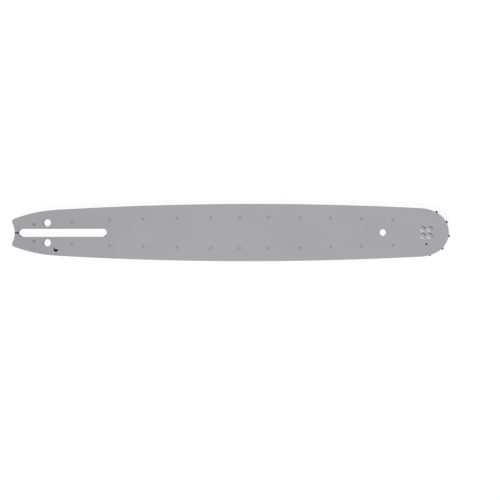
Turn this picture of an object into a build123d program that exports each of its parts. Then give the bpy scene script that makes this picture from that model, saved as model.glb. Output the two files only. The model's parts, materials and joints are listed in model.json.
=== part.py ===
from build123d import *
import os
from math import asin, cos, floor, pi, radians, sin, sqrt, tan

# Laminated chainsaw guide bar with a sprocket nose that turns on rollers. Sizes are in millimetres.
# The bar lies flat. The origin is the centre of the stud slot, on the lower clamping face,
# with +X towards the nose and +Z up through the thickness.
# A station is a distance along the bar from the tips of its tail.

# Plates
side_thickness = 1.5
core_thickness = 1.5
groove_depth = 7.0
edge_break = 0.3

# Chain that runs round the nose
chain_pitch = 8.255
sprocket_teeth = 10
strap_height = 3.2

# Outline of the side plates
bar_length = 455.3
shoulder_step = 1.75
shoulder_ease = 15.5
rail_crown = 5.4
taper_station = 46.0
taper_half_width = 24.0
tail_radius = 149.0
notch_depth = 2.75
notch_radius = 22.0
horn_radius = 3.3

# Stud slot, and the narrow slit that opens it to the tail
slot_station = 6.8
slot_length = 92.6
slot_width = 8.4
slit_width = 1.2

# Round holes
adjuster_station = 36.9
adjuster_diameter = 7.8
adjuster_spacing = 20.9
oil_hole_station = 46.0
oil_hole_diameter = 4.4
oil_hole_edge = 6.0
hang_hole_setback = 45.0
hang_hole_diameter = 7.0
grease_hole_diameter = 2.0

# Nose sprocket
tooth_stand = 1.6
tooth_height = 8.4
tooth_tip_width = 2.3
tooth_tip_chamfer = 0.25
tooth_lead = -8.8
gullet_radius = 3.6
sprocket_wall = 2.4
sprocket_room = 1.5

# Roller bearing
roller_diameter = 4.0
roller_gap = 0.08
running_clearance = 0.05
side_clearance = 0.12

# Nose rivets
rivet_pitch = 7.0
rivet_diameter = 4.9
rivet_head_diameter = 5.5
countersink_angle = 90.0
rivet_bevel = 0.4
rivet_stand = 0.75

# Heights of the layers
core_bottom = side_thickness
core_top = core_bottom + core_thickness
bar_thickness = core_top + side_thickness
running_thickness = core_thickness - 2 * side_clearance

# Places along the bar
tail_x = -(slot_station + slot_length / 2)
pitch_radius = chain_pitch / 2 / sin(pi / (2 * sprocket_teeth))
nose_radius = pitch_radius - strap_height
axis_x = tail_x + bar_length - nose_radius
nose_axis = Vector(axis_x, 0)

# Radii in the nose, from the tooth tips inwards
tooth_tip_radius = nose_radius + tooth_stand
gullet_root = tooth_tip_radius - tooth_height
bore_radius = gullet_root - sprocket_wall
roller_radius = roller_diameter / 2
roller_ring = bore_radius - running_clearance - roller_radius
race_radius = roller_ring - roller_radius - running_clearance
roller_count = floor(pi / asin((roller_diameter + roller_gap) / 2 / roller_ring))
shank_radius = rivet_diameter / 2
head_radius = rivet_head_diameter / 2


def crossing(center_a, radius_a, center_b, radius_b, side):
    """Where two circles cross, to the left (1) or the right (-1) of the line from a to b."""
    span = center_b - center_a
    ahead = span.normalized()
    along = (span.length**2 + radius_a**2 - radius_b**2) / (2 * span.length)
    across = sqrt(radius_a**2 - along**2)
    return center_a + ahead * along + Vector(-ahead.Y, ahead.X) * (side * across)


# Upper rail: one long arc from the tail taper to abreast of the nose axis, bowed by the crown
taper_point = Vector(tail_x + taper_station, taper_half_width)
shoulder_mark = Vector(axis_x, nose_radius + shoulder_step)
half_chord = (shoulder_mark - taper_point).length / 2
rail_radius = (half_chord**2 + rail_crown**2) / (2 * rail_crown)
rail_center = crossing(taper_point, rail_radius, shoulder_mark, rail_radius, -1)

# Tail: an arc tangent to the rail, cut off by the round notch across the end
taper_normal = (taper_point - rail_center).normalized()
tail_center = taper_point - taper_normal * tail_radius
notch_point = Vector(tail_x + notch_depth, 0)
notch_center = notch_point - Vector(notch_radius, 0)

# Shoulder: an arc tangent to the rail and to the circle of the nose
shoulder_radius = nose_radius + shoulder_ease
shoulder_center = crossing(rail_center, rail_radius - shoulder_radius, nose_axis, shoulder_ease, 1)
shoulder_front = shoulder_center + (nose_axis - shoulder_center).normalized() * shoulder_radius
shoulder_back = shoulder_center + (shoulder_center - rail_center).normalized() * shoulder_radius


def rail_height(x):
    """Height of the upper rail's edge above the centreline, at x."""
    if x < taper_point.X:
        return tail_center.Y + sqrt(tail_radius**2 - (x - tail_center.X) ** 2)
    return rail_center.Y + sqrt(rail_radius**2 - (x - rail_center.X) ** 2)


def draw_rail(front, inset):
    """From front back along the rail to the tail, then down the notch, inset inside the edge."""
    taper_end = taper_point - taper_normal * inset
    horn = crossing(tail_center, tail_radius - inset, notch_center, notch_radius, -1)
    RadiusArc(front, taper_end, inset - rail_radius)
    RadiusArc(taper_end, horn, inset - tail_radius)
    RadiusArc(horn, notch_point, notch_radius)


with BuildSketch() as bar_outline:
    with BuildLine():
        RadiusArc(nose_axis + Vector(nose_radius, 0), shoulder_front, -nose_radius)
        RadiusArc(shoulder_front, shoulder_back, -shoulder_radius)
        draw_rail(shoulder_back, 0)
        mirror(about=Plane.XZ)
    make_face()
    fillet(bar_outline.vertices().group_by(Axis.X)[0], horn_radius)

# Core: its long edges are the floor of the groove, and its front is cut back round the sprocket
core_front_radius = tooth_tip_radius + sprocket_room
core_front = nose_axis - Vector(core_front_radius, 0)
core_corner = crossing(rail_center, rail_radius - groove_depth, nose_axis, core_front_radius, 1)

with BuildSketch() as core_outline:
    with BuildLine():
        RadiusArc(core_front, core_corner, core_front_radius)
        draw_rail(core_corner, groove_depth)
        mirror(about=Plane.XZ)
    make_face()

# Cut-outs that pass through all three plates
slit_front = (slot_width - slot_length) / 2

with BuildSketch() as through_cuts:
    SlotOverall(slot_length, slot_width)
    with Locations((slit_front, 0)):
        Rectangle(slit_front - tail_x, slit_width, align=(Align.MAX, Align.CENTER))
    with Locations((tail_x + adjuster_station, 0)):
        with GridLocations(0, adjuster_spacing, 1, 2):
            Circle(adjuster_diameter / 2)
    with Locations((axis_x - hang_hole_setback, 0)):
        Circle(hang_hole_diameter / 2)

# Oil hole: on the front plate it lies inside the lower rail
oil_hole_x = tail_x + oil_hole_station
oil_hole_y = oil_hole_edge - rail_height(oil_hole_x)


def side_plate(inner_face):
    """One side plate, built outwards from the plane of its inner face."""
    outwards = Axis(inner_face.origin, inner_face.z_dir)
    with BuildPart() as plate:
        with BuildSketch(inner_face):
            add(bar_outline.sketch)
        extrude(amount=side_thickness)
        chamfer(plate.faces().sort_by(outwards)[-1].edges(), edge_break)
        with BuildSketch(inner_face):
            add(through_cuts.sketch)
            with Locations((oil_hole_x, oil_hole_y)):
                Circle(oil_hole_diameter / 2)
            with Locations((axis_x, -roller_ring)):
                Circle(grease_hole_diameter / 2)
        extrude(amount=side_thickness, mode=Mode.SUBTRACT)
        with Locations(inner_face.offset(side_thickness)):
            with Locations((axis_x, 0)):
                with GridLocations(rivet_pitch, rivet_pitch, 2, 2):
                    CounterSinkHole(shank_radius, head_radius, counter_sink_angle=countersink_angle)
    return plate.part


front_side_plate = side_plate(Plane.XY.offset(core_top))
back_side_plate = side_plate(Plane((0, 0, core_bottom), x_dir=(1, 0, 0), z_dir=(0, 0, -1)))

with BuildPart() as core_plate:
    with BuildSketch(Plane.XY.offset(core_bottom)):
        add(core_outline.sketch)
        add(through_cuts.sketch, mode=Mode.SUBTRACT)
    extrude(amount=core_thickness)

# Gullet between two teeth, drawn along +X: straight flanks that run into a round root
tooth_step = 360 / sprocket_teeth
tip_angle = pi / sprocket_teeth - asin(tooth_tip_width / 2 / tooth_tip_radius)
tip_corner = Vector(tooth_tip_radius * cos(tip_angle), tooth_tip_radius * sin(tip_angle))
gullet_mouth = Vector(tooth_tip_radius + tooth_stand, 0)
root_center = Vector(gullet_root + gullet_radius, 0)
half_reach = (tip_corner - root_center) / 2
flank_end = crossing(root_center, gullet_radius, root_center + half_reach, half_reach.length, 1)

with BuildSketch() as gullet:
    with BuildLine():
        RadiusArc((gullet_root, 0), flank_end, gullet_radius)
        Polyline(flank_end, tip_corner, gullet_mouth + Vector(0, tip_corner.Y), gullet_mouth)
        mirror(about=Plane.XZ)
    make_face()

nose_plane = Plane((axis_x, 0, core_bottom))
running_plane = nose_plane.offset(side_clearance)

with BuildPart() as nose_sprocket:
    with BuildSketch(running_plane):
        Circle(tooth_tip_radius)
        with PolarLocations(0, sprocket_teeth, start_angle=tooth_lead + tooth_step / 2):
            add(gullet.sketch, mode=Mode.SUBTRACT)
        Circle(bore_radius, mode=Mode.SUBTRACT)
    extrude(amount=running_thickness)
    tip_edges = nose_sprocket.edges().filter_by(Axis.Z).group_by(
        lambda edge: (edge.center() - running_plane.origin).length
    )[-1]
    chamfer(tip_edges, min(tooth_tip_chamfer, 0.4 * tooth_tip_width))

with BuildPart() as bearing_inner_race:
    with BuildSketch(nose_plane):
        Circle(race_radius)
        with GridLocations(rivet_pitch, rivet_pitch, 2, 2):
            Circle(shank_radius, mode=Mode.SUBTRACT)
    extrude(amount=core_thickness)

# Rivet: its ends fill the countersinks and stand up in bevelled heads. Half of it is drawn and mirrored.
countersink_depth = (head_radius - shank_radius) / tan(radians(countersink_angle / 2))
mid_height = bar_thickness / 2
head_top = bar_thickness + rivet_stand

with BuildPart() as rivet:
    with BuildSketch(Plane.XZ):
        with BuildLine():
            Polyline(
                (0, mid_height),
                (shank_radius, mid_height),
                (shank_radius, bar_thickness - countersink_depth),
                (head_radius, bar_thickness),
                (head_radius - rivet_bevel, head_top),
                (0, head_top),
                close=True,
            )
        make_face()
    revolve(axis=Axis.Z)
    mirror(about=Plane.XY.offset(mid_height))

with BuildPart() as nose_rivets:
    with Locations(nose_axis):
        with GridLocations(rivet_pitch, rivet_pitch, 2, 2):
            add(rivet.part)

pieces = {
    "front_side_plate": front_side_plate,
    "core_plate": core_plate.part,
    "back_side_plate": back_side_plate,
    "nose_sprocket": nose_sprocket.part,
    "bearing_inner_race": bearing_inner_race.part,
    "nose_rivets": nose_rivets.part,
}

# Rollers: a full ring of them, side by side between the race and the sprocket
for number in range(1, roller_count + 1):
    roller_angle = 360 * number / roller_count
    with BuildPart() as bearing_roller:
        with BuildSketch(running_plane):
            with PolarLocations(roller_ring, 1, start_angle=roller_angle):
                Circle(roller_radius)
        extrude(amount=running_thickness)
    pieces[f"bearing_roller_{number:02d}"] = bearing_roller.part

os.makedirs("parts", exist_ok=True)
for name, piece in pieces.items():
    piece.label = name
    export_step(piece, f"parts/{name}.step")
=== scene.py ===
# %% [markdown]
# # Dressing a chainsaw guide bar
# A guide bar is the long flat blade that a saw chain runs round. This one is a sandwich of three
# steel plates, spot-welded together, with a small toothed wheel that turns on rollers inside its
# round nose.
# The solids come ready made, at their real size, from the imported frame. This lesson adds what
# they lack: softened edges, weld marks, peened rivets, finishes and light.

# %% Load the frame
import json
from math import atan2, cos, pi, radians, sin, sqrt

import bmesh
import bpy
from mathutils import Matrix, Vector


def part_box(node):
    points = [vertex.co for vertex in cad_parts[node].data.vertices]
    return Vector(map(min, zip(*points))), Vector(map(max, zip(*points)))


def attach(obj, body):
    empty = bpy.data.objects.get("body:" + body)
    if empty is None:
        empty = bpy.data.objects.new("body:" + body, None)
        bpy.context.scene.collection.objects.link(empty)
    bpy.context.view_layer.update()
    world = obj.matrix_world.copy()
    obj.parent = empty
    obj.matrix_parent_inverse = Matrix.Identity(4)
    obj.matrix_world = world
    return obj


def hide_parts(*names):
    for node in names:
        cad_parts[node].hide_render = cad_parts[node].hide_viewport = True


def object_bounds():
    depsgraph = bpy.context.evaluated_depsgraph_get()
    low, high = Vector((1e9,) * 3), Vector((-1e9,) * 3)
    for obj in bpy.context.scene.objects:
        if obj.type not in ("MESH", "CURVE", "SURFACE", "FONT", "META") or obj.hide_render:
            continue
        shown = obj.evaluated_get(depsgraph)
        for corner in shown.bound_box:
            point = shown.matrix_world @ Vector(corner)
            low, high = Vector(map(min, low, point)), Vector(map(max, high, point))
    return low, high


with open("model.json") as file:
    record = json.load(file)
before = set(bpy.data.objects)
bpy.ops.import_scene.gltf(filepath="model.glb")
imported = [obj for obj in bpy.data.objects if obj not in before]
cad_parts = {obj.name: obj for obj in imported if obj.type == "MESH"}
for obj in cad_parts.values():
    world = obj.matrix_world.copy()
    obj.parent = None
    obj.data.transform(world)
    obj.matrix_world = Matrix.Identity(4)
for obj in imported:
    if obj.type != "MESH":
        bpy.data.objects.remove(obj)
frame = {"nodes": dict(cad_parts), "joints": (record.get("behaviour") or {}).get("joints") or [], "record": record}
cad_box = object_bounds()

# %% [markdown]
# ## Sizes that both worlds share
# Blender works in metres here and the bar is easier to think of in millimetres, so every size on
# it is written as a number of mm. Whatever the frame can tell is asked of it: the heights of the
# plates, the axis of the nose and the mounts. The rest are the bar's own drawing sizes.

# %% Sizes read from the frame
mm = 0.001
mounts = {mount["name"]: mount for mount in frame["record"]["mounts"]}
inner_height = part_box("front_side_plate")[0].z
outer_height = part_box("front_side_plate")[1].z
middle_height = outer_height / 2
nose_axis = Vector(frame["joints"][0]["pos_m"][:2])
nose_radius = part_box("front_side_plate")[1].x - nose_axis.x
slot_length = mounts["stud_slot"]["dims"]["slot_length_mm"] * mm
print(f"front plate from {inner_height / mm:.2f} to {outer_height / mm:.2f} mm")
print(f"nose radius {nose_radius / mm:.2f} mm")

# %% Sizes of the outline
shoulder_step = 1.75 * mm
shoulder_ease = 15.5 * mm
rail_crown = 5.4 * mm
taper_station = 46.0 * mm
taper_half_width = 24.0 * mm
tail_radius = 149.0 * mm
notch_depth = 2.75 * mm
notch_radius = 22.0 * mm
horn_radius = 3.3 * mm
slot_station = 6.8 * mm
slot_width = 8.4 * mm
slit_width = 1.2 * mm
tail_x = -(slot_station + slot_length / 2)
print(f"the tail starts at x = {tail_x / mm:.2f} mm")

# %% [markdown]
# ## The outline as a chain of arcs
# A bar's edge is a chain of arcs that run smoothly into each other: the nose, a shoulder, one very
# long arc for the rail, the taper of the tail, a small rounded horn and the hollow notch across
# the end. Where two arcs meet without a kink, their centres and the meeting point lie on one line.
# So each joint needs no more than a direction, and that direction stays the same when the whole
# edge is moved inwards by a hair.
# The centres are found as on a drawing board, by crossing two circles of a compass.

# %% Centres of the arcs
def crossing(center_a, radius_a, center_b, radius_b, side):
    """Where two circles cross, to the left (1) or the right (-1) of the line from a to b."""
    span = center_b - center_a
    ahead = span.normalized()
    along = (span.length_squared + radius_a**2 - radius_b**2) / (2 * span.length)
    across = sqrt(radius_a**2 - along**2)
    return center_a + ahead * along + Vector((-ahead.y, ahead.x)) * (side * across)


taper_point = Vector((tail_x + taper_station, taper_half_width))
shoulder_mark = Vector((nose_axis.x, nose_radius + shoulder_step))
half_chord = (shoulder_mark - taper_point).length / 2
rail_radius = (half_chord**2 + rail_crown**2) / (2 * rail_crown)
rail_center = crossing(taper_point, rail_radius, shoulder_mark, rail_radius, -1)

rail_to_taper = (taper_point - rail_center).normalized()
tail_center = taper_point - rail_to_taper * tail_radius
notch_center = Vector((tail_x + notch_depth - notch_radius, 0))
inside_tail = tail_radius - horn_radius
outside_notch = notch_radius + horn_radius
horn_center = crossing(tail_center, inside_tail, notch_center, outside_notch, -1)
tail_to_horn = (horn_center - tail_center).normalized()
horn_to_notch = (notch_center - horn_center).normalized()

shoulder_radius = nose_radius + shoulder_ease
inside_rail = rail_radius - shoulder_radius
shoulder_center = crossing(rail_center, inside_rail, nose_axis, shoulder_ease, 1)
nose_to_shoulder = (nose_axis - shoulder_center).normalized()
shoulder_to_rail = (shoulder_center - rail_center).normalized()
print(f"rail radius {rail_radius / mm:.0f} mm")

# %% [markdown]
# ## Drawing with the spin tool
# Spinning a single vertex about a centre leaves an arc of edges behind it. So the half outline is
# one vertex that is sent on a walk: round the nose, along the rail, round the tail, in through the
# narrow slit and along the stud slot to its front end. Mirroring that walk closes the loop.
# Because the slit opens the slot to the tail, the slot is a part of this one loop and not a hole
# of its own.

# %% Walk round half of the edge
nose_steps = 40
shoulder_steps = 20
rail_steps = 32
tail_steps = 16
small_arc_steps = 12
slot_back = Vector(((slot_width - slot_length) / 2, 0))
slot_front = -slot_back


def bend_to(bm, vert, center, direction, steps):
    """Spin a vertex until it lies in a direction from the centre, and give the last vertex."""
    start = vert.co.xy - center
    turn = atan2(start.cross(direction), start.dot(direction))
    arc = {"cent": (*center, vert.co.z), "axis": (0, 0, 1), "angle": turn, "steps": steps}
    return bmesh.ops.spin(bm, geom=[vert], **arc)["geom_last"][0]


def run_to(bm, vert, place):
    """Draw a straight edge from a vertex to a place at the same height, and give its end."""
    end = bmesh.ops.extrude_vert_indiv(bm, verts=[vert])["verts"][0]
    end.co.xy = place
    return end


def mark(bm, vert, **amounts):
    """Note how bare a vertex is, and how dark with old lubricant and painted shade, from 0 to 1."""
    for name, amount in amounts.items():
        vert[bm.verts.layers.float[name]] = amount


def draw_half_edge(bm, height, bare, oil_and_shade, grime, rim=0, lip=0):
    """Half the plate's edge at one height: rail bare or oily, slot grimy, dark parts also painted shade.

    rim draws the outside in, and lip widens the slot and the slit.
    """
    mouth = slit_width / 2 + lip
    slot_radius = slot_width / 2 + lip
    slit_start = Vector((sqrt((notch_radius + rim) ** 2 - mouth**2), mouth))
    slit_end = slot_back + Vector((-sqrt(slot_radius**2 - mouth**2), mouth))
    upwards = Vector((0, 1))
    forwards = Vector((1, 0))
    vert = bm.verts.new((nose_axis.x + nose_radius - rim, 0, height))
    mark(bm, vert, bare=bare, grime=oil_and_shade)
    vert = bend_to(bm, vert, nose_axis, nose_to_shoulder, nose_steps)
    vert = bend_to(bm, vert, shoulder_center, shoulder_to_rail, shoulder_steps)
    vert = bend_to(bm, vert, rail_center, rail_to_taper, rail_steps)
    vert = bend_to(bm, vert, tail_center, tail_to_horn, tail_steps)
    mark(bm, vert, bare=0)
    vert = bend_to(bm, vert, horn_center, horn_to_notch, small_arc_steps)
    vert = bend_to(bm, vert, notch_center, slit_start.normalized(), small_arc_steps)
    mark(bm, vert, grime=grime)
    vert = run_to(bm, vert, slit_end)
    vert = bend_to(bm, vert, slot_back, upwards, small_arc_steps)
    vert = run_to(bm, vert, slot_front + upwards * slot_radius)
    bend_to(bm, vert, slot_front, forwards, small_arc_steps)


print("the nose takes", nose_steps, "steps, the rail", rail_steps, "and the tail", tail_steps)

# %% [markdown]
# ## From loops to a wall
# A plate's edge isn't a knife-sharp corner: the press and the tumbling drum leave it rounded by
# some tenths of a millimetre, and that roundness is what catches the light. A bevel would do on a
# plain box. Here the loop is drawn several times instead, each a little higher and further in,
# along a quarter circle, and bridged from one to the next. So the outer rim can be rounder than
# the lip of the slot.
# Each vertex also carries a few numbers that the paint reads later. bare is 1 where the chain rubs
# the running edge down to the steel. Another is 1 where the paint turns near-black, for old oil and
# as painted shade: in the slot, on the inner face and in a thin line along the foot of the running
# edge. The spin tool copies them as it goes, so they are written once at the start of each stretch.

# %% Bridge the loops of one edge
rim_round = 0.3 * mm
lip_round = 0.12 * mm
round_steps = 4
oil_and_shade_line = 0.05 * mm
same_place = 0.001 * mm


def edges_at(bm, height):
    """The open edges that lie at one height."""
    return [
        edge
        for edge in bm.edges
        if len(edge.link_faces) < 2
        and all(abs(vert.co.z - height) < same_place for vert in edge.verts)
    ]


def raise_wall(bm):
    """The plate's whole edge, from its inner face up and over the rounded rim."""
    # Painted shade, with old oil: the inner face, the rail's foot and the slot walls are marked dark.
    levels = [
        {"height": inner_height, "bare": 0, "oil_and_shade": 1, "grime": 1},
        {"height": inner_height + oil_and_shade_line, "bare": 1, "oil_and_shade": 0, "grime": 1},
    ]
    for step in range(round_steps + 1):
        angle = pi / 2 * step / round_steps
        inset = 1 - cos(angle)
        height = outer_height - rim_round * (1 - sin(angle))
        paint_loss = 1 - step / round_steps
        marks = {"bare": paint_loss, "oil_and_shade": 0, "grime": paint_loss}
        insets = {"rim": rim_round * inset, "lip": lip_round * inset}
        levels.append({"height": height, **marks, **insets})
    for level in levels:
        draw_half_edge(bm, **level)
    half = bm.verts[:] + bm.edges[:]
    bmesh.ops.mirror(bm, geom=half, matrix=Matrix(), merge_dist=same_place, axis="Y")
    for lower, upper in zip(levels, levels[1:]):
        loops = edges_at(bm, lower["height"]) + edges_at(bm, upper["height"])
        bmesh.ops.bridge_loops(bm, edges=loops)


print(f"rim rounded by {rim_round / mm:.2f} mm, slot by {lip_round / mm:.2f} mm")

# %% [markdown]
# ## Holes, countersinks and weld marks
# All of these are round, so one helper serves them: a short profile of a few points is spun once
# round an upright axis. A hole is a straight wall with a softened lip, a countersink a wall that
# opens like a funnel, and a spot weld a shallow dent that the electrode pressed into the plate.
# They could be cut with a Boolean, but then the cuts would leave slivers. Spinning them first and
# filling the flat face around them afterwards gives a closed mesh with clean rings.

# %% Spin round features into the face
hole_steps = 48
# Hole walls are marked dark up to the lip, for old oil and as painted shade.
lip_grime = 0.8
shank_radius = 2.45 * mm
head_radius = 2.75 * mm
weld_steps = 24
weld_radius = 2.5 * mm
weld_depth = 0.07 * mm
weld_rings = (1.0, 0.85, 0.65, 0.45, 0.22, 0.0)
even_shade_depth = 0.75


def turn_profile(bm, center, profile, steps):
    """Spin a profile once round an upright axis. Its points are radius, height, grimy shade and weld shade."""
    verts = []
    for radius, height, grime, weld in profile:
        vert = bm.verts.new((center.x + radius, center.y, height))
        mark(bm, vert, grime=grime, weld=weld)
        verts.append(vert)
    edges = [bm.edges.new(pair) for pair in zip(verts, verts[1:])]
    turn = {"cent": (*center, 0), "axis": (0, 0, 1), "angle": 2 * pi, "steps": steps}
    bmesh.ops.spin(bm, geom=verts + edges, use_merge=True, **turn)


def pierce(bm, center, radius):
    """A round hole through the plate, with a softened lip."""
    profile = [
        (radius, inner_height, 1, 0),
        (radius, outer_height - lip_round, lip_grime, 0),
        (radius + lip_round, outer_height, 0, 0),
    ]
    turn_profile(bm, center, profile, hole_steps)


def countersink(bm, center):
    """A rivet hole that opens to the width of the rivet's head."""
    funnel = head_radius - shank_radius
    profile = [
        (shank_radius, inner_height, 1, 0),
        (shank_radius, outer_height - funnel, 1, 0),
        (head_radius, outer_height, 0, 0),
    ]
    turn_profile(bm, center, profile, hole_steps)


def press_weld(bm, center, dent_shade):
    """The round dent of a spot weld, with a soft brim and painted shade that is even at its bottom."""
    profile = []
    for share in weld_rings:
        depth = (1 + cos(pi * share)) / 2
        # Painted shade: the paint in the dent is darkened, evenly over its bottom.
        dent_shading = dent_shade * min(depth, even_shade_depth)
        profile.append((weld_radius * share, outer_height - weld_depth * depth, 0, dent_shading))
    turn_profile(bm, center, profile, weld_steps)


print(f"weld marks are {2 * weld_radius / mm:.1f} mm wide and {weld_depth / mm:.2f} mm deep")

# %% [markdown]
# ## Where the features sit
# The adjuster holes and the hanging hole are mounts, so the frame knows their places and sizes.
# Two small holes aren't mounts: the oil hole lets the saw's oil into the groove, and the grease
# hole below the rivets leads to the rollers. Their places are set here, within half a millimetre
# of the solids' own holes.
# The spot welds run in two rows, a fixed distance inside the rails, except for the first pair,
# which hugs the stud slot. Their steps along the bar aren't even: the welder's fixture spaced them
# in four groups.

# %% Places of holes and rivets
oil_hole_radius = 2.2 * mm
oil_hole_inset = 6.5 * mm
grease_hole_radius = 1.0 * mm
grease_hole_reach = 12.1 * mm
rivet_pitch = 7.0 * mm

hole_places = []
for name in ("adjuster_hole_left", "adjuster_hole_right", "hang_hole"):
    mount = mounts[name]
    hole_places.append((Vector(mount["pos_m"][:2]), mount["dims"]["r_mm"] * mm))
oil_hole = Vector((taper_point.x, oil_hole_inset - taper_half_width))
hole_places.append((oil_hole, oil_hole_radius))
grease_hole = nose_axis - Vector((0, grease_hole_reach))
hole_places.append((grease_hole, grease_hole_radius))

rivet_places = []
for across in (-rivet_pitch / 2, rivet_pitch / 2):
    for along in (-rivet_pitch / 2, rivet_pitch / 2):
        rivet_places.append(nose_axis + Vector((along, across)))
print(len(hole_places), "holes and", len(rivet_places), "rivets")

# %% Places of the spot welds
first_weld_station = 23.0 * mm
first_weld_offset = 8.8 * mm
last_weld_setback = 35.0 * mm
weld_inset = 13.7 * mm
weld_spacing = [39.7] * 2 + [35.2] * 3 + [30.1] * 2 + [32.2] * 4
# How dark the weld dents are painted as shade; the first pair darker.
weld_shade_level = 0.41
first_weld_shade_level = 0.62


def rail_height(x):
    """Height of the rail's edge above the centreline."""
    return rail_center.y + sqrt(rail_radius**2 - (x - rail_center.x) ** 2)


weld_x = tail_x + first_weld_station
weld_run = nose_axis.x - last_weld_setback - weld_x
weld_places = [(weld_x, first_weld_offset)]
for spacing in weld_spacing:
    weld_x += weld_run * spacing / sum(weld_spacing)
    weld_places.append((weld_x, rail_height(weld_x) - weld_inset))
print(2 * len(weld_places), "weld marks on each plate")

# %% [markdown]
# ## Filling the two faces
# Everything now ends in open rings that lie exactly in the plate's outer plane or its inner plane.
# The fill tool takes all the rings of one plane and closes the space between them, leaving the
# holes open.
# The flat faces stay flat-shaded while the rounded ones are smooth: a smooth flat face would
# borrow tilted normals from the rim, and its long triangles would show as streaks of light.

# %% Build one side plate and turn it over for the other
sharp_angle = radians(38)


def fill_face(bm, height):
    """Close the space between the open rings at one height."""
    rings = edges_at(bm, height)
    filled = bmesh.ops.triangle_fill(bm, edges=rings, use_beauty=True, normal=(0, 0, 1))
    for face in filled["geom"]:
        face.smooth = False


def finish_piece(bm, name, node):
    """Close seams, turn faces outwards and let the mesh replace one of the bar's solids."""
    bmesh.ops.remove_doubles(bm, verts=bm.verts, dist=same_place)
    bmesh.ops.recalc_face_normals(bm, faces=bm.faces)
    for edge in bm.edges:
        edge.smooth = edge.calc_face_angle() < sharp_angle
    print(f"{name}: {len(bm.faces)} faces, {bm.calc_volume() / mm**3:.0f} cubic mm")
    mesh = bpy.data.meshes.new(name)
    bm.to_mesh(mesh)
    bm.free()
    piece = bpy.data.objects.new(name, mesh)
    bpy.context.scene.collection.objects.link(piece)
    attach(piece, "bar")
    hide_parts(node)
    return piece


def new_bar_mesh():
    """An empty bmesh whose vertices can be marked as bare, grimy or welded."""
    bm = bmesh.new()
    for name in ("bare", "grime", "weld"):
        bm.verts.layers.float.new(name)
    return bm


def press_plate(name, node, half_turns):
    """One side plate. The back one is the same pressing, turned over about the bar's length."""
    bm = new_bar_mesh()
    raise_wall(bm)
    for center, radius in hole_places:
        pierce(bm, center, radius)
    for center in rivet_places:
        countersink(bm, center)
    for number, (along, across) in enumerate(weld_places):
        dent_shade = first_weld_shade_level if number == 0 else weld_shade_level
        press_weld(bm, Vector((along, across)), dent_shade)
        press_weld(bm, Vector((along, -across)), dent_shade)
    bmesh.ops.remove_doubles(bm, verts=bm.verts, dist=same_place)
    for face in bm.faces:
        face.smooth = True
    fill_face(bm, inner_height)
    fill_face(bm, outer_height)
    turn_over = Matrix.Rotation(pi * half_turns, 3, "X")
    bmesh.ops.rotate(bm, verts=bm.verts, cent=(0, 0, middle_height), matrix=turn_over)
    return finish_piece(bm, name, node)


front_plate = press_plate("painted_front_plate", "front_side_plate", 0)
back_plate = press_plate("painted_back_plate", "back_side_plate", 1)

# %% [markdown]
# ## Peened rivets
# Four rivets hold the nose together. Their ends are peened: a tool with a round tip rolls the
# steel outwards until it fills the countersink, which leaves a raised ring with a shallow dish
# inside it. The outside of that ring slopes gently, so a low lamp paints one side of it bright and
# the other dark.
# The profile is drawn with its corners only. After the spin, one bevel rounds the rings of the
# head, and a mirror makes the other end.

# %% Turn and round the rivets
head_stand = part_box("nose_rivets")[1].z - outer_height
brim_radius = 2.9 * mm
brim_rise = 0.06 * mm
crest_outer = 1.65 * mm
crest_inner = 1.3 * mm
dish_radius = 0.5 * mm
dish_depth = 0.25 * mm
head_round = 0.14 * mm
head_round_steps = 4
flat_angle = radians(10)


def on_head_ring(edge):
    """Whether an edge lies level on a corner of the head, above the brim."""
    first, second = edge.verts
    if first.co.z < outer_height + brim_rise + same_place or len(edge.link_faces) != 2:
        return False
    return abs(first.co.z - second.co.z) < same_place and edge.calc_face_angle() > flat_angle


def peen_rivets():
    """Four rivets with raised and dished heads at both ends."""
    bm = new_bar_mesh()
    funnel = head_radius - shank_radius
    crest = outer_height + head_stand
    corners = [
        (shank_radius, middle_height),
        (shank_radius, outer_height - funnel),
        (head_radius, outer_height),
        (brim_radius, outer_height),
        (brim_radius, outer_height + brim_rise),
        (crest_outer, crest),
        (crest_inner, crest),
        (dish_radius, crest - dish_depth),
        (0, crest - dish_depth),
    ]
    profile = [(radius, height, 0, 0) for radius, height in corners]
    for center in rivet_places:
        turn_profile(bm, center, profile, hole_steps)
    bmesh.ops.remove_doubles(bm, verts=bm.verts, dist=same_place)
    rings = [edge for edge in bm.edges if on_head_ring(edge)]
    rounding = {"offset": head_round, "offset_type": "OFFSET", "segments": head_round_steps}
    style = {"affect": "EDGES", "profile": 0.5, "material": -1, "clamp_overlap": True}
    bmesh.ops.bevel(bm, geom=rings, **rounding, **style)
    to_middle = Matrix.Translation((0, 0, -middle_height))
    half = bm.verts[:] + bm.edges[:] + bm.faces[:]
    bmesh.ops.mirror(bm, geom=half, matrix=to_middle, merge_dist=same_place, axis="Z")
    for face in bm.faces:
        face.smooth = True
    return finish_piece(bm, "peened_rivets", "nose_rivets")


rivets = peen_rivets()

# %% [markdown]
# ## Finishes as small node trees
# Every finish on the bar is a Principled shader whose colour and roughness follow noise in the
# object's own coordinates, so that the pattern stays put when a piece moves. Most have a fine
# relief as well. A helper that adds a node and plugs in its inputs keeps each finish short enough
# to read as a recipe.

# %% Helpers that add nodes
def add_node(tree, kind, inputs, **settings):
    """Add a shader node, set it up, and give each named input a value or a link."""
    node = tree.nodes.new("ShaderNode" + kind)
    for name, value in settings.items():
        setattr(node, name, value)
    for name, value in inputs.items():
        if isinstance(value, bpy.types.NodeSocket):
            tree.links.new(value, node.inputs[name])
        else:
            node.inputs[name].default_value = value
    return node


def start_finish(name):
    """A new material, its node tree and its Principled shader."""
    material = bpy.data.materials.new(name)
    material.use_nodes = True
    return material, material.node_tree, material.node_tree.nodes["Principled BSDF"]


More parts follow.
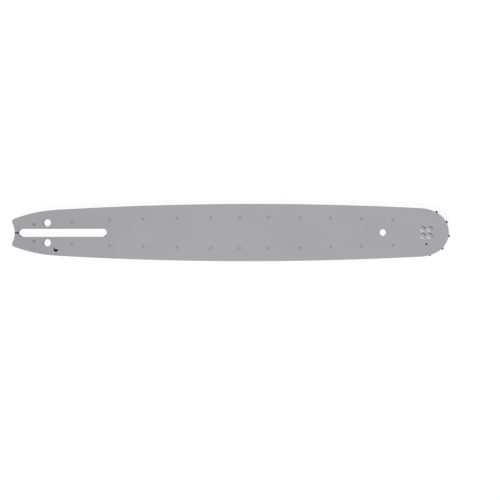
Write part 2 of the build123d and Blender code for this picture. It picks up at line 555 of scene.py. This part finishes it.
def object_place(tree):
    """The place of a point in the object's own coordinates."""
    return add_node(tree, "TexCoord", {}).outputs["Object"]


def calculate(tree, operation, first, second):
    """The result of one calculation on two numbers or links."""
    return add_node(tree, "Math", {0: first, 1: second}, operation=operation).outputs["Value"]


print("node helpers ready")

# %% Helpers that blend and roughen
noise_low = 0.25
noise_high = 0.75
relief_depth = 0.02 * mm


def mix_colors(tree, factor, first, second, blend="MIX"):
    """Two colours mixed or multiplied. The Mix node has its colours at inputs 6 and 7."""
    inputs = {0: factor, 6: first, 7: second}
    return add_node(tree, "Mix", inputs, data_type="RGBA", blend_type=blend).outputs[2]


def mix_values(tree, factor, first, second):
    """A number that goes from first to second as the factor goes from 0 to 1."""
    spread = {"Value": factor, "To Min": first, "To Max": second}
    return add_node(tree, "MapRange", spread).outputs["Result"]


def noise(tree, per_mm, low, high, detail=2.0):
    """Noise between low and high, with per_mm waves to the millimetre along each axis."""
    waves = [count / mm for count in per_mm]
    stretch = {"Vector": object_place(tree), "Scale": waves}
    stretched = add_node(tree, "Mapping", stretch).outputs["Vector"]
    pattern = add_node(tree, "TexNoise", {"Vector": stretched, "Scale": 1.0, "Detail": detail})
    spread = {"Value": pattern.outputs["Fac"], "From Min": noise_low, "From Max": noise_high}
    limits = {"To Min": low, "To Max": high}
    return add_node(tree, "MapRange", {**spread, **limits}).outputs["Result"]


def emboss(tree, shader, height, strength):
    """Give a shader a fine relief that follows a height from 0 to 1."""
    relief = {"Height": height, "Strength": strength, "Distance": relief_depth}
    bump = add_node(tree, "Bump", relief)
    tree.links.new(bump.outputs["Normal"], shader.inputs["Normal"])


print(f"relief is up to {relief_depth / mm:.2f} mm deep")

# %% [markdown]
# ## Silver-grey paint
# The plates have a thin coat of satin silver-grey lacquer. From a step away it is one even grey,
# with painted shade making it a little darker towards the tail. Close up it has a fine grain and
# slow clouds where the spray lay thicker. The weld dents are darkened as painted shade, and walls
# and inner faces go near-black for old oil and as painted shade. The edges where the chain runs
# are bare ground steel, with hair-fine lines all the way round.
# One function makes the paint for plates and rivets, since the rivets were sprayed with the bar
# and only look glossier where the peening tool smoothed them.

# %% Paint recipe
paint_color = (0.374, 0.372, 0.397, 1.0)
paint_gloss = 0.25
paint_relief = 0.12
plate_roughness = 0.48
rivet_roughness = 0.42
# Painted shade: how dark the tail end is, and where that fades out.
tail_shade_factor = 0.9
tail_shade_end = 150.0 * mm
ground_steel = (0.42, 0.42, 0.43, 1.0)
ground_metallic = 0.75
ground_roughness = 0.42
# Near-black for old oil and for painted shade in walls, inner faces and weld dents.
oily_grime = (0.04, 0.039, 0.038, 1.0)


def sprayed_coat(tree):
    """The colour of the paint, with grain and clouds, and painted shade that darkens it towards the tail."""
    clouds = noise(tree, per_mm=(0.02, 0.035, 0.035), low=0.97, high=1.03)
    grain = noise(tree, per_mm=(1.6, 1.6, 1.6), low=0.955, high=1.045, detail=4.0)
    # Painted shade: the paint darkens smoothly towards the tail end.
    along = add_node(tree, "SeparateXYZ", {"Vector": object_place(tree)}).outputs["X"]
    fade = {"Value": along, "From Min": tail_x, "From Max": tail_shade_end, "To Min": tail_shade_factor}
    tail_shade = add_node(tree, "MapRange", fade, interpolation_type="SMOOTHSTEP").outputs["Result"]
    shade = calculate(tree, "MULTIPLY", tail_shade, calculate(tree, "MULTIPLY", clouds, grain))
    return mix_colors(tree, 1.0, paint_color, shade, "MULTIPLY")


def silver_paint(name, roughness):
    """Satin paint that turns to ground steel where rubbed, and near-black with lubricant and painted shade."""
    material, tree, shader = start_finish(name)
    bare = add_node(tree, "Attribute", {}, attribute_name="bare").outputs["Fac"]
    grime = add_node(tree, "Attribute", {}, attribute_name="grime").outputs["Fac"]
    weld = add_node(tree, "Attribute", {}, attribute_name="weld").outputs["Fac"]
    # Painted shade, with old oil: walls, inner faces and weld dents take the near-black colour.
    grime_and_shade_mask = calculate(tree, "MAXIMUM", grime, weld)
    grimed_and_shaded_coat = mix_colors(tree, grime_and_shade_mask, sprayed_coat(tree), oily_grime)
    lines = noise(tree, per_mm=(0.02, 0.02, 9.0), low=0.75, high=1.2, detail=3.0)
    steel = mix_colors(tree, 1.0, ground_steel, lines, "MULTIPLY")
    tree.links.new(mix_colors(tree, bare, grimed_and_shaded_coat, steel), shader.inputs["Base Color"])
    tree.links.new(mix_values(tree, bare, 0.0, ground_metallic), shader.inputs["Metallic"])
    unevenness = noise(tree, per_mm=(0.06, 0.1, 0.1), low=0.92, high=1.08)
    satin = calculate(tree, "MULTIPLY", unevenness, roughness)
    tree.links.new(mix_values(tree, bare, satin, ground_roughness), shader.inputs["Roughness"])
    peel = noise(tree, per_mm=(1.1, 1.1, 1.1), low=0.0, high=1.0, detail=3.0)
    emboss(tree, shader, mix_values(tree, bare, peel, lines), paint_relief)
    shader.inputs["Specular IOR Level"].default_value = paint_gloss
    return material


plate_paint = silver_paint("plate_paint", plate_roughness)
for plate in (front_plate, back_plate):
    plate.data.materials.append(plate_paint)
rivets.data.materials.append(silver_paint("rivet_paint", rivet_roughness))
print("painted", front_plate.name, back_plate.name, rivets.name)

# %% [markdown]
# ## Steel inside the bar
# Little of the inside shows: the floor of the chain groove, the tips of the sprocket's teeth, and
# a roller through the grease hole. The core is plain rolled sheet, with cut edges darkened for old
# oil and as painted shade. The sprocket is hardened and blackened, with tips that the chain keeps a
# touch brighter. Rollers and race are polished, but they sit in grease, which dulls and darkens
# them, and that darkening is also painted shade in the grease hole.

# %% Rolled steel of the core
core_color = (0.5, 0.5, 0.51, 1.0)
core_metallic = 0.2
edge_oil_and_shade_band = 0.05 * mm
steel_relief = 0.15


def dress(names, material):
    """Give the frame's own solids a better finish than the plain one they came with."""
    for name in names:
        frame["nodes"][name].material_slots[0].material = material
    print(material.name, "on", len(names), "solids")


def rolled_steel(name):
    """Bare rolled sheet whose cut edges are near-black, for old lubricant and as painted shade."""
    material, tree, shader = start_finish(name)
    height = add_node(tree, "SeparateXYZ", {"Vector": object_place(tree)}).outputs["Z"]
    above_middle = calculate(tree, "SUBTRACT", height, middle_height)
    from_middle = calculate(tree, "ABSOLUTE", above_middle, 0)
    half_core = inner_height - middle_height
    # Painted shade, with old oil: the cut edges in the groove and the slot go near-black.
    fade = {"Value": from_middle, "From Min": half_core - edge_oil_and_shade_band, "From Max": half_core}
    flat = add_node(tree, "MapRange", fade).outputs["Result"]
    steel = mix_colors(tree, flat, oily_grime, core_color)
    lines = noise(tree, per_mm=(0.02, 0.02, 7.0), low=0.7, high=1.25, detail=3.0)
    film = noise(tree, per_mm=(0.08, 0.08, 0.08), low=0.8, high=1.1)
    shade = calculate(tree, "MULTIPLY", lines, film)
    tree.links.new(mix_colors(tree, 1.0, steel, shade, "MULTIPLY"), shader.inputs["Base Color"])
    smears = noise(tree, per_mm=(0.3, 0.3, 0.3), low=0.36, high=0.5)
    tree.links.new(smears, shader.inputs["Roughness"])
    emboss(tree, shader, lines, steel_relief)
    shader.inputs["Metallic"].default_value = core_metallic
    return material


dress(["core_plate"], rolled_steel("core_rolled_steel"))

# %% Black steel of the sprocket
black_oxide = (0.03, 0.03, 0.032, 1.0)
oxide_gloss = 0.1
worn_tip = (0.15, 0.15, 0.154, 1.0)
rub_depth = 1.0 * mm


def blackened_steel(name):
    """Hardened black steel, rubbed a little brighter towards the tooth tips."""
    material, tree, shader = start_finish(name)
    to_center = {"Vector": object_place(tree), "Location": (-nose_axis.x, 0, -middle_height)}
    offset = add_node(tree, "Mapping", to_center).outputs["Vector"]
    reach = add_node(tree, "VectorMath", {0: offset}, operation="LENGTH").outputs["Value"]
    rub_start = nose_radius - rub_depth
    rub_end = nose_radius + rub_depth
    rub = {"Value": reach, "From Min": rub_start, "From Max": rub_end}
    tip = add_node(tree, "MapRange", rub).outputs["Result"]
    oxide = mix_colors(tree, tip, black_oxide, worn_tip)
    speckle = noise(tree, per_mm=(0.9, 0.9, 0.9), low=0.8, high=1.2, detail=4.0)
    speckled = mix_colors(tree, 1.0, oxide, speckle, "MULTIPLY")
    tree.links.new(speckled, shader.inputs["Base Color"])
    smears = noise(tree, per_mm=(0.5, 0.5, 0.5), low=0.4, high=0.55)
    tree.links.new(smears, shader.inputs["Roughness"])
    emboss(tree, shader, speckle, steel_relief)
    shader.inputs["Specular IOR Level"].default_value = oxide_gloss
    return material


dress(["nose_sprocket"], blackened_steel("sprocket_black_steel"))

# %% Greased steel of the bearing
roller_steel = (0.3, 0.3, 0.31, 1.0)
roller_metallic = 0.5
roller_roughness = 0.25
grease_and_shade_color = (0.02, 0.018, 0.015, 1.0)
grease_roughness = 0.5
grease_gloss = 0.2


def grease_and_shade_steel(name):
    """Polished bearing steel under a patchy near-black film of grease that is also painted shade."""
    material, tree, shader = start_finish(name)
    film = noise(tree, per_mm=(0.35, 0.35, 0.35), low=0.7, high=1.0, detail=3.0)
    # Painted shade, with grease: the rollers go near-black, so the grease hole looks dark.
    smeared = mix_colors(tree, film, roller_steel, grease_and_shade_color)
    roughness = mix_values(tree, film, roller_roughness, grease_roughness)
    tree.links.new(smeared, shader.inputs["Base Color"])
    tree.links.new(mix_values(tree, film, roller_metallic, 0.0), shader.inputs["Metallic"])
    tree.links.new(roughness, shader.inputs["Roughness"])
    shader.inputs["Specular IOR Level"].default_value = grease_gloss
    return material


bearing_nodes = [name for name in frame["nodes"] if name.startswith("bearing_")]
dress(bearing_nodes, grease_and_shade_steel("bearing_grease_and_shade_steel"))

# %% [markdown]
# ## A white table
# The bar lies on a plain white floor, seen from straight above. A white floor that is only lit
# never renders quite white. So rays that show it, straight to the camera or in a reflection, see
# mostly glow, and all other rays see plain white paint. The bar's shadow stays, faint, since a
# part of the floor's brightness is still reflected light.
# Hardly any light reaches the floor under the narrow slit, or close in at the near corners of the
# slot's round ends. Those places get no glow: a strip for the slit, and for each corner the thin
# crescent that is left of a circle when a smaller circle, moved a little away from the corner, is
# taken out of it.

# %% Lay the floor
floor_half_width = 3.0


def white_floor():
    """A large plane under the lowest point of the bar."""
    bm = bmesh.new()
    under_bar = Matrix.Translation((nose_axis.x / 2, 0, cad_box[0].z))
    grid = {"x_segments": 1, "y_segments": 1, "size": floor_half_width}
    bmesh.ops.create_grid(bm, matrix=under_bar, **grid)
    mesh = bpy.data.meshes.new("floor")
    bm.to_mesh(mesh)
    bm.free()
    floor = bpy.data.objects.new("floor", mesh)
    bpy.context.scene.collection.objects.link(floor)
    return floor


floor = white_floor()
print(f"floor at z = {cad_box[0].z / mm:.2f} mm")

# %% Places without glow
strip_overrun = 1.15 * mm
strip_setback = 0.2 * mm
strip_margin = 0.1 * mm
strip_start = tail_x + notch_depth - strip_overrun
strip_end = -slot_length / 2 - strip_setback
strip_half_width = slit_width / 2 + strip_margin
back_shade_shift = Vector((-0.5, 0.8)) * mm
front_shade_shift = Vector((-0.6, 0.7)) * mm
back_shade_start = 1.3 * mm
shade_reach = 0.5 * mm


def beside_slit(tree, axes):
    """1 everywhere but in the strip of floor under the slit."""
    ahead = calculate(tree, "GREATER_THAN", axes["X"], strip_end)
    behind = calculate(tree, "LESS_THAN", axes["X"], strip_start)
    off_center = calculate(tree, "ABSOLUTE", axes["Y"], 0)
    aside = calculate(tree, "GREATER_THAN", off_center, strip_half_width)
    return calculate(tree, "MAXIMUM", aside, calculate(tree, "MAXIMUM", ahead, behind))


def reach_from(tree, place, center):
    """How far a place on the floor lies from a point of it."""
    ends = {0: place, 1: (*center, cad_box[0].z)}
    return add_node(tree, "VectorMath", ends, operation="DISTANCE").outputs["Value"]


def shaded_end(tree, place, center, shift, past_end):
    """1 in the crescent of shade at one round end of the slot, where past_end is 1."""
    radius = slot_width / 2
    near = calculate(tree, "LESS_THAN", reach_from(tree, place, center), radius + shade_reach)
    unlit = calculate(tree, "GREATER_THAN", reach_from(tree, place, center + shift), radius)
    return calculate(tree, "MULTIPLY", past_end, calculate(tree, "MULTIPLY", near, unlit))


print(f"no glow from x = {strip_start / mm:.2f} to {strip_end / mm:.2f} mm under the slit")

# %% Paint the floor
floor_glow = 0.96
floor_seen = 0.06
floor_white = 0.8


def seen_directly(tree):
    """1 for rays that show the background: camera, glossy and transmission rays."""
    path = add_node(tree, "LightPath", {}).outputs
    straight = calculate(tree, "MAXIMUM", path["Is Camera Ray"], path["Is Glossy Ray"])
    return calculate(tree, "MAXIMUM", straight, path["Is Transmission Ray"])


def floor_paint(name):
    """White paint that glows for the camera, but not under the slit or in the slot's corners."""
    material, tree, shader = start_finish(name)
    place = object_place(tree)
    axes = add_node(tree, "SeparateXYZ", {"Vector": place}).outputs
    past_back = calculate(tree, "LESS_THAN", axes["X"], slot_back.x - back_shade_start)
    past_front = calculate(tree, "GREATER_THAN", axes["X"], slot_front.x)
    back_shade = shaded_end(tree, place, slot_back, back_shade_shift, past_back)
    front_shade = shaded_end(tree, place, slot_front, front_shade_shift, past_front)
    shade = calculate(tree, "MAXIMUM", back_shade, front_shade)
    open_floor = calculate(tree, "SUBTRACT", 1.0, shade)
    clear = calculate(tree, "MULTIPLY", beside_slit(tree, axes), open_floor)
    seen = seen_directly(tree)
    glow = calculate(tree, "MULTIPLY", calculate(tree, "MULTIPLY", seen, clear), floor_glow)
    tree.links.new(glow, shader.inputs["Emission Strength"])
    shader.inputs["Emission Color"].default_value = (1, 1, 1, 1)
    white = mix_values(tree, seen, floor_white, floor_seen)
    tree.links.new(white, shader.inputs["Base Color"])
    shader.inputs["Roughness"].default_value = 1.0
    shader.inputs["Specular IOR Level"].default_value = 0.0
    return material


floor.data.materials.append(floor_paint("floor_paint"))
print(f"the floor glows at {floor_glow:.2f} and reflects {floor_seen:.2f}")

# %% [markdown]
# ## Light
# One soft lamp stands low at the tail end, on the near side, and an even white room fills the
# shadows. The lamp shows the relief: each rivet head is bright on its near side and dark beyond.
# Lamp and room together light a flat surface with a strength of 1, so that a colour renders about
# as it was written.

# %% Lamp and room
lamp_share = 0.88
lamp_elevation = radians(36)
lamp_azimuth = radians(236)
lamp_softness = radians(10)


def hang_lamp():
    """A far, soft lamp that shines down on the bar from the near side of its tail."""
    lamp = bpy.data.lights.new("lamp", "SUN")
    lamp.energy = lamp_share * pi / sin(lamp_elevation)
    lamp.angle = lamp_softness
    level = cos(lamp_elevation)
    towards = Vector((cos(lamp_azimuth) * level, sin(lamp_azimuth) * level, sin(lamp_elevation)))
    holder = bpy.data.objects.new("lamp", lamp)
    holder.rotation_euler = towards.to_track_quat("Z", "Y").to_euler()
    holder.location = towards
    bpy.context.scene.collection.objects.link(holder)


def light_room():
    """A white room that fills the shadows, and that camera and reflections see as pure white."""
    world = bpy.data.worlds.new("room")
    bpy.context.scene.world = world
    world.use_nodes = True
    tree = world.node_tree
    background = tree.nodes["Background"]
    background.inputs["Color"].default_value = (1, 1, 1, 1)
    strength = mix_values(tree, seen_directly(tree), 1 - lamp_share, 1.0)
    tree.links.new(strength, background.inputs["Strength"])


hang_lamp()
light_room()
print(f"lamp {lamp_share:.0%}, room {1 - lamp_share:.0%}")

# %% [markdown]
# ## Camera
# The camera looks straight down from 1.3 metres above the bar, with the nose to the right. It
# leans by about a degree, as a camera on a copy stand does when its column isn't quite upright.

# %% Camera
camera_place = Vector((222.52, -18.09, 1304.5)) * mm
camera_lean = radians(1.18)
camera_roll = radians(-0.045)
camera_lens = 89.915

camera_data = bpy.data.cameras.new("camera")
camera_data.lens = camera_lens
camera = bpy.data.objects.new("camera", camera_data)
camera.location = camera_place
camera.rotation_euler = (0, camera_lean, camera_roll)
bpy.context.scene.collection.objects.link(camera)
bpy.context.scene.camera = camera
bpy.context.scene.view_settings.view_transform = "Standard"
print(f"camera {camera_place.z:.2f} m up")
